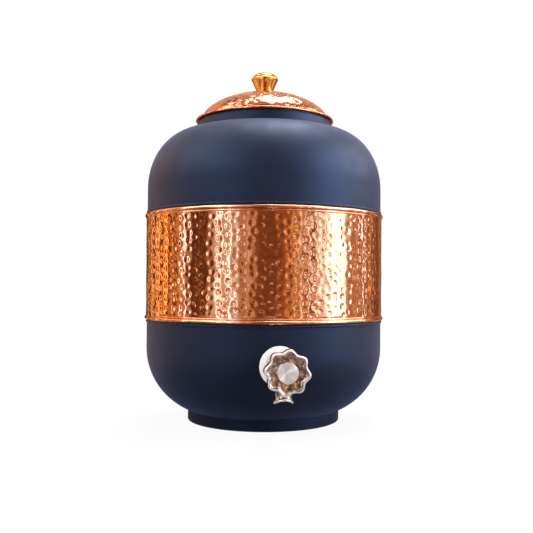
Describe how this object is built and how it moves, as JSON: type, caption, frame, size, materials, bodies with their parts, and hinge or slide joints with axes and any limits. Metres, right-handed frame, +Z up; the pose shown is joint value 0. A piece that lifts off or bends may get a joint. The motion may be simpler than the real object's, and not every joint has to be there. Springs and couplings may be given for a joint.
{
  "type": "water dispenser",
  "caption": "Round free-standing water dispenser: painted pot on a foot ring, hammered copper band, domed lift-off lid with knob, and a screw-down tap low on the front.",
  "frame": {"origin": "on the table under the middle of the whole object, so the pot's axis stands behind it and the tap reaches in front", "axes": "+Z up along the pot's axis, -Y out of the pot along the tap, +X to the right seen from the front"},
  "size_m": [0.2226, 0.2706, 0.3267],
  "materials": {
    "navy_coat": "matte navy powder coat over spun steel",
    "hammered_copper": "polished copper sheet with ball-peen dimples",
    "copper_bead": "polished half-round copper strip",
    "lid_copper": "hammered copper, satin polish",
    "polished_brass": "turned and polished brass",
    "valve_brass": "turned brass",
    "chrome": "polished chrome plate",
    "satin_steel": "satin stainless steel",
    "spun_steel": "stainless steel brushed in circles",
    "rubber": "moulded black rubber",
    "fibre": "pressed red fibre"
  },
  "bodies": {
    "dispenser": {"lower_shell": "navy_coat", "upper_shell": "navy_coat", "neck_ring": "navy_coat", "foot_ring": "navy_coat", "hammered_band": "hammered_copper", "band_bottom_bead": "copper_bead", "band_top_bead": "copper_bead", "tap_boss": "navy_coat", "outer_seal": "rubber", "tap_flange": "satin_steel", "inner_seal": "rubber", "back_washer": "satin_steel", "back_nut": "valve_brass", "tap_body": "chrome", "spout": "chrome", "bonnet": "chrome", "bonnet_gasket": "fibre"},
    "lid": {"lid_dome": "lid_copper", "lid_plug_ring": "satin_steel", "lid_knob": "polished_brass", "lid_knob_washer": "satin_steel", "lid_knob_screw": "satin_steel"},
    "valve": {"jumper": "valve_brass", "valve_washer": "rubber", "jumper_screw": "valve_brass"},
    "handle": {"spindle": "valve_brass", "spindle_o_ring": "rubber", "tap_knob": "chrome", "knob_screw": "satin_steel", "knob_cap": "spun_steel"}
  },
  "joints": [
    {"name": "lid_lift", "type": "slide", "parent": "dispenser", "child": "lid", "axis": [0, 0, 1], "range_m": [0, 0.1]},
    {"name": "valve_lift", "type": "slide", "parent": "dispenser", "child": "valve", "axis": [0, -1, 0], "range_m": [0, 0.0025]},
    {"name": "tap_turn", "type": "hinge", "parent": "valve", "child": "handle", "pos_m": [0, -0.08525, 0.0605], "axis": [0, -1, 0], "range_deg": [0, 360]}
  ],
  "couplings": [
    {"joint": "valve_lift", "follows": "tap_turn", "m_per_rad": 0.00039788}
  ]
}
